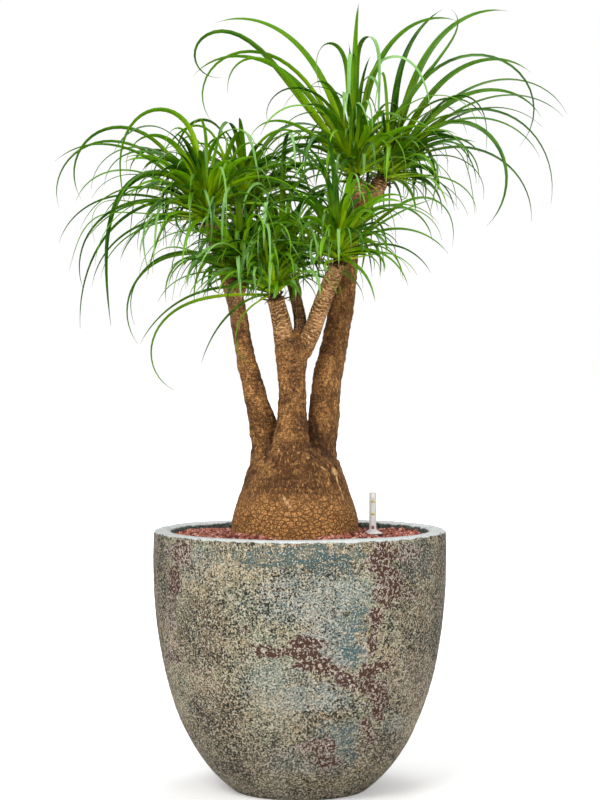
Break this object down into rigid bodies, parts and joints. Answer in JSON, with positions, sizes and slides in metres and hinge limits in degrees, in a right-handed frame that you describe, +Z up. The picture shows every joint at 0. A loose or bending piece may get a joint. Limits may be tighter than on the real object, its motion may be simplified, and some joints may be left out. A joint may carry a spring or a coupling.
{
  "type": "potted ponytail palm",
  "caption": "Stemmed ponytail palm with a swollen base and arching strap leaves, rooted in clay granules in a rounded rough-glazed ceramic planter with a float water gauge.",
  "frame": {"origin": "centre of the planter's flat base, on the surface it stands on", "axes": "+Z up, +X to the right as seen from the front, +Y away from the viewer"},
  "size_m": [0.7706, 0.4868, 1.1554],
  "materials": {
    "glaze": "matte",
    "pot_plastic": "matte",
    "bed_clay": "matte",
    "granules": "matte",
    "gauge_plastic": "satin",
    "float_plastic": "satin",
    "bark": "matte",
    "leaf": "satin"
  },
  "bodies": {
    "potted_plant": {"planter": "glaze", "culture_pot": "pot_plastic", "outer_bed": "bed_clay", "rooting_bed": "bed_clay", "top_dressing": "granules", "gauge_tube": "gauge_plastic", "trunk": "bark", "head_left_outer": "leaf", "head_left_back": "leaf", "head_left_front": "leaf", "head_middle_left": "leaf", "head_middle_back": "leaf", "head_middle_right": "leaf", "head_right_upper": "leaf", "head_right_outer": "leaf"},
    "float": {"gauge_float": "float_plastic"}
  },
  "joints": [
    {"name": "float_rise", "type": "slide", "parent": "potted_plant", "child": "float", "axis": [0, 0, 1], "range_m": [0, 0.036]}
  ]
}
